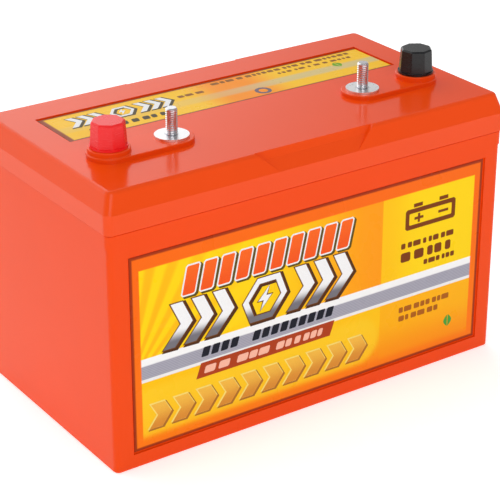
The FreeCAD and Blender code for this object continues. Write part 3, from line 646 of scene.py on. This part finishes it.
def add_side_artwork(panel):
    """The artwork of a side label, layer by layer."""
    def upward(low, high):
        """A fade between two heights, for ink()."""
        return (2, low * MM, high * MM)

    tag = panel.tag
    white = ink(f"{tag}_white", (0.93, 0.93, 0.93))
    dark = ink(f"{tag}_outline", srgb(82, 42, 10))
    olive = ink(f"{tag}_shadow", srgb(95, 75, 10))
    bronze = ink(f"{tag}_bronze", srgb(110, 62, 18))
    brown = ink(f"{tag}_brown", srgb(125, 58, 0))
    chrome = ink(f"{tag}_chrome", (0.95, 0.95, 0.96), srgb(118, 116, 124), upward(84, 93))
    orange = ink(f"{tag}_orange", srgb(255, 105, 25), srgb(250, 88, 20), upward(115, 136))
    gold = ink(f"{tag}_gold", srgb(250, 190, 70), srgb(225, 145, 50), upward(26, 42))
    cream = ink(f"{tag}_cream", srgb(255, 228, 120))

    gauge = gauge_bars()
    panel.add_print("gauge_shadow", gauge, olive, LIFT_SHADOW, 1.5, shift=(1.4, -1.2))
    panel.add_print("gauge_edge", gauge, white, LIFT_EDGE, 1.1)
    panel.add_print("gauge_face", gauge, orange, LIFT_FACE)
    marks, flash = power_marks(-119, 95.8, 31.5)
    panel.add_print("power_shadow", marks, dark, LIFT_SHADOW, 1.5, shift=(1.4, -1.1))
    panel.add_print("power_edge", marks + flash, bronze, LIFT_EDGE, 0.8)
    panel.add_print("power_face", marks + flash, chrome, LIFT_FACE)
    panel.add_print("stripe_marks", stripe_marks(), ink(f"{tag}_night", srgb(22, 24, 38)), LIFT_BAND)

    banner_low = 51
    banner = slanted([wound(block(-97, banner_low, 110, 11))], banner_low, 0.36)
    panel.add_print("banner", banner, ink(f"{tag}_banner", srgb(178, 62, 18)), LIFT_BAND)
    notes = []
    for number, (left, right) in enumerate(((-91, -68), (-65, -36), (-33, 9))):
        notes += dashes(left, 53.6, right, 5.4, 11 + number, 1.2, 0.3)
    panel.add_print("banner_marks", notes, ink(f"{tag}_rose", srgb(255, 190, 165)), LIFT_EDGE)

    arrows = arrow_row()
    umber = ink(f"{tag}_umber", srgb(178, 112, 40))
    panel.add_print("arrow_shadow", arrows, umber, LIFT_SHADOW, 0.9, shift=(0.7, -0.6))
    panel.add_print("arrow_light", arrows, cream, LIFT_EDGE, 0.6, shift=(-0.5, 0.5))
    panel.add_print("arrow_face", arrows, gold, LIFT_FACE)

    panel.add_print("battery_mark", battery_mark(), brown, LIFT_BAND)
    rows = dashes(NOTE_LEFT, 100.2, NOTE_RIGHT, 4.2, 3, 1.0)
    rows += dashes(NOTE_LEFT, 89.8, NOTE_RIGHT, 7.2, 5, 1.5)
    rows += dashes(95, 83.4, NOTE_RIGHT, 3.8, 8, 0.9)
    panel.add_print("upper_rows", rows, brown, LIFT_BAND)
    rows = dashes(NOTE_LEFT, 50.4, 124, 4.2, 21, 1.0)
    rows += dashes(NOTE_LEFT, 43.6, 114, 4.2, 23, 1.0)
    panel.add_print("lower_rows", rows, ink(f"{tag}_tan", srgb(175, 95, 10)), LIFT_BAND)
    panel.add_print("leaf", leaf_mark(), ink(f"{tag}_green", srgb(70, 165, 60)), LIFT_BAND)


def label_board(name, flip):
    """A side label's field: border, rays, gradients and silver stripe.

    flip is -1 where the panel's way across is against +X.
    """
    made, g, shader = material(name)
    where = g.stretch(g.place(), flip / MM, 1 / MM, 1 / MM)
    u, _, v = g.axes(where)
    bright, warm, amber = srgb(255, 213, 0), srgb(255, 196, 0), srgb(255, 156, 0)
    right = g.math("GREATER_THAN", u, DIVISION_U)

    # above the stripe: rays from the lower left, amber up to the division, bright beyond it
    from_v, from_u = g.math("ADD", v, -RAYS_FROM_V), g.math("ADD", u, -RAYS_FROM_U)
    fan = g.math("SINE", g.math("MULTIPLY", g.math("ARCTAN2", from_v, from_u), 34.0))
    rays = g.math("MULTIPLY", g.ramp(fan, -0.7, 0.9), g.ramp(u, -30.0, -135.0, 0.0, 0.55))
    upper = g.mix(rays, bright, amber)
    upper = g.mix(g.ramp(u, -60.0, 55.0), upper, amber)
    upper = g.mix(right, upper, g.mix(g.ramp(u, 60.0, 90.0), warm, bright))

    # below the stripe: orange at the foot and a pill of lighter yellow round the arrow heads
    lower = g.mix(g.ramp(v, 50.0, 16.0), warm, srgb(255, 140, 0))
    above = g.math("ABSOLUTE", g.math("ADD", v, -PILL_V))
    past = g.math("MAXIMUM", g.math("ADD", u, -PILL_U), 0.0)
    squares = g.math("ADD", g.math("MULTIPLY", above, above), g.math("MULTIPLY", past, past))
    glow = g.ramp(g.math("SQRT", squares), 21.0, 14.0)
    lower = g.mix(g.math("MULTIPLY", glow, 0.8), lower, srgb(255, 205, 30))
    lower = g.mix(g.math("MULTIPLY", right, 0.45), lower, amber)
    field = g.mix(g.math("GREATER_THAN", v, 70.0), lower, upper)

    # the silver stripe: white above, brushed grey, light along its lower edge
    lines = g.math("SINE", g.math("MULTIPLY", v, 5.2))
    grey = g.mix(g.ramp(lines, -1.0, 1.0), srgb(150, 150, 166), srgb(176, 174, 186))
    silver = g.mix(g.ramp(v, 72.3, 73.6), grey, (0.93, 0.93, 0.93))
    silver = g.mix(g.ramp(v, 63.8, 62.8), silver, (0.85, 0.85, 0.85))
    field = g.mix(g.band(v, STRIPE_LOW, STRIPE_HIGH, 0.25), field, silver)

    # the orange border, which the field fades into at the foot, and a dark line round the label's
    # edge, which is painted shade where the walls of the label's recess shade it
    beside = g.math("SUBTRACT", FIELD_HALF, g.math("ABSOLUTE", u))
    inside = g.math("MINIMUM", beside, g.math("SUBTRACT", FIELD_TOP, v))
    inside = g.math("MULTIPLY", g.ramp(inside, -0.5, 0.5), g.ramp(v, 14.0, 22.0))
    border = g.mix(g.ramp(v, 20.0, 130.0), srgb(255, 122, 0), srgb(250, 106, 0))
    field = g.mix(inside, border, field)
    to_end = g.math("SUBTRACT", LABEL_HALF, g.math("ABSOLUTE", u))
    off_middle = g.math("ABSOLUTE", g.math("ADD", v, -LABEL_MIDDLE_V))
    rim = g.math("MINIMUM", to_end, g.math("SUBTRACT", LABEL_HALF_TALL, off_middle))
    # painted shade: the field goes dark brown within a few millimetres of the label's edge, as the
    # recess walls would shade it
    field = g.mix(g.ramp(rim, 2.6, 1.3), field, srgb(160, 48, 2))
    finish_print(g, shader, field)
    return made


def top_board(name):
    """The lid label's field, with an amber middle, a faint silver stripe, and painted shade along its
    left end and its front and back edges.
    """
    made, g, shader = material(name)
    where = g.stretch(g.place(), 1 / MM, 1 / MM, 1 / MM)
    u, v, _ = g.axes(where)
    field = g.mix(g.band(u, -12.0, 40.0, 16.0), srgb(255, 200, 4), srgb(255, 150, 0))
    sheen = g.math("MULTIPLY", g.band(v, 21.0, 31.0, 2.0), g.ramp(u, -60.0, 60.0, 0.2, 0.75))
    field = g.mix(sheen, field, srgb(205, 195, 150))
    # painted shadow: a dark band along the left end only, where the recess wall casts its shadow, and
    # painted shade along the front and back edges
    side = g.ramp(g.math("ADD", u, TOP_LABEL_HALF), 4.4, 2.6)
    off_middle = g.math("ABSOLUTE", g.math("ADD", v, -TOP_LABEL_MIDDLE_V))
    edge = g.math("SUBTRACT", TOP_LABEL_HALF_DEEP, off_middle)
    rim = g.math("MAXIMUM", side, g.ramp(edge, 2.6, 1.3))
    field = g.mix(rim, field, srgb(150, 58, 4))
    finish_print(g, shader, field)
    return made


def finish_print(g, shader, field):
    """Vinyl print: dot grain in the colour and a slightly uneven clear coat."""
    where = g.place()
    grain = g.noise(where, 1500, 2)
    dots = g.math("MULTIPLY", grain, 0.06)
    g.put(shader.inputs["Base Color"], g.mix(dots, field, BLACK))
    g.put(shader.inputs["Roughness"], g.ramp(g.noise(where, 40, 3), 0.3, 0.7, 0.26, 0.36))
    g.put(shader.inputs["Specular IOR Level"], PRINT_SPECULAR)
    g.put(shader.inputs["Normal"], g.bump(g.noise(where, 60, 2), 0.2, 0.05 * MM))


def add_top_artwork(panel):
    """The lid label's artwork: small versions of the side label's marks."""
    tag = panel.tag
    dark = ink(f"{tag}_outline", srgb(74, 62, 30))
    white = ink(f"{tag}_white", (0.93, 0.93, 0.93))
    marks, flash = power_marks(-119, 36, 17)
    panel.add_print("power_shadow", marks, dark, LIFT_SHADOW, 1.1, shift=(0.9, -0.7))
    panel.add_print("power_face", marks + flash, white, LIFT_FACE)
    panel.add_print("gauge", dashes(-114, 14, -50, 6, 31, 1.4, 0.22), dark, LIFT_BAND)
    rows = dashes(2, 44.5, 125, 4.0, 41, 1.3)
    rows += dashes(55, 37.5, 120, 3.2, 43, 1.4)
    rows += dashes(-31, 36, -4, 4, 47, 1.1)
    panel.add_print("small_rows", rows, ink(f"{tag}_brown", srgb(150, 92, 6)), LIFT_BAND)
    badge = [wound(ring(26, 16, 6.2, 12)), wound(ring(26, 16, 3.4, 12), hole=True)]
    panel.add_print("badge", badge, ink(f"{tag}_slate", srgb(118, 104, 120)), LIFT_BAND)
    green = ink(f"{tag}_green", srgb(110, 175, 20))
    panel.add_print("leaf", moved(leaf_mark(), -18, -1), green, LIFT_BAND)


def add_labels():
    """Each label's printed field, and its artwork on the outer face."""
    front = Panel("front", (0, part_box("front_label")[0][1], 0), (1, 0, 0), (0, 0, 1))
    back = Panel("back", (0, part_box("back_label")[1][1], 0), (-1, 0, 0), (0, 0, 1))
    top = Panel("top", (0, 0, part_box("top_label")[1][2]), (1, 0, 0), (0, 1, 0))
    assign(label_board("front_board", 1), "front_label")
    assign(label_board("back_board", -1), "back_label")
    assign(top_board("top_board"), "top_label")
    add_side_artwork(front)
    add_side_artwork(back)
    add_top_artwork(top)


# ---------------------------------------------------------------- surroundings
FRONT_LIGHT = 0.4
BACK_LEFT_LIGHT = 1.6
BACK_RIGHT_LIGHT = 0.4
FLOOR_GLOW = 0.42
KEY_WATTS = 13.5
TOP_WATTS = 3
FLOOR_HALF = 30.0
# azimuths from +Y towards +X, in degrees: the back light fades out between the first two,
# and dims to a share of itself between the last two
FADE_OUT, FADE_IN = 43, 25
DIM_AT, FULL_AT, DIM_SHARE = -70, 0, 0.55


def add_floor():
    """A plain white floor, with a glow that keeps it white round the object."""
    made, g, shader = material("floor")
    cloud = g.noise(g.place(), 3, 2)
    g.put(shader.inputs["Base Color"], g.mix(cloud, (0.93, 0.93, 0.93), (0.96, 0.96, 0.96)))
    g.put(shader.inputs["Roughness"], 0.9)
    g.put(shader.inputs["Specular IOR Level"], 0.0)
    g.put(shader.inputs["Emission Color"], (1.0, 1.0, 1.0))
    g.put(shader.inputs["Emission Strength"], FLOOR_GLOW)
    mesh = bpy.data.meshes.new("floor")
    corners = [(across * FLOOR_HALF, along * FLOOR_HALF, 0)
               for across, along in ((-1, -1), (1, -1), (1, 1), (-1, 1))]
    mesh.from_pydata(corners, [], [(0, 1, 2, 3)])
    mesh.materials.append(made)
    floor = bpy.data.objects.new("floor", mesh)
    bpy.context.scene.collection.objects.link(floor)


def add_world():
    """Soft white surroundings, brighter to the back left, which the glossy lid reflects."""
    world = bpy.data.worlds.new("studio")
    world.use_nodes = True
    bpy.context.scene.world = world
    g = Graph(world.node_tree)
    background = g.nodes["Background"]
    x, y, _ = g.axes(g.new("ShaderNodeTexCoord").outputs["Generated"])
    azimuth = g.math("ARCTAN2", x, y)
    fade_out, fade_in = math.radians(FADE_OUT), math.radians(FADE_IN)
    glow = g.ramp(azimuth, fade_out, fade_in, BACK_RIGHT_LIGHT, BACK_LEFT_LIGHT)
    dimming = g.ramp(azimuth, math.radians(DIM_AT), math.radians(FULL_AT), DIM_SHARE, 1.0)
    glow = g.math("MULTIPLY", glow, dimming)
    behind = g.ramp(y, 0.0, 0.3)
    rise = g.math("SUBTRACT", glow, FRONT_LIGHT)
    g.put(background.inputs["Color"], (1.0, 1.0, 1.0))
    g.put(background.inputs["Strength"], g.math("MULTIPLY_ADD", behind, rise, FRONT_LIGHT))


add_camera()
add_stud("positive")
add_stud("negative")
add_labels()
add_floor()
add_world()
add_softbox("front_key", -20, 35, 2.2, (1.6, 1.2), KEY_WATTS)
add_softbox("top_fill", 0, 85, 1.6, (1.4, 1.0), TOP_WATTS, glossy=False)
bpy.context.scene.view_settings.view_transform = "Standard"
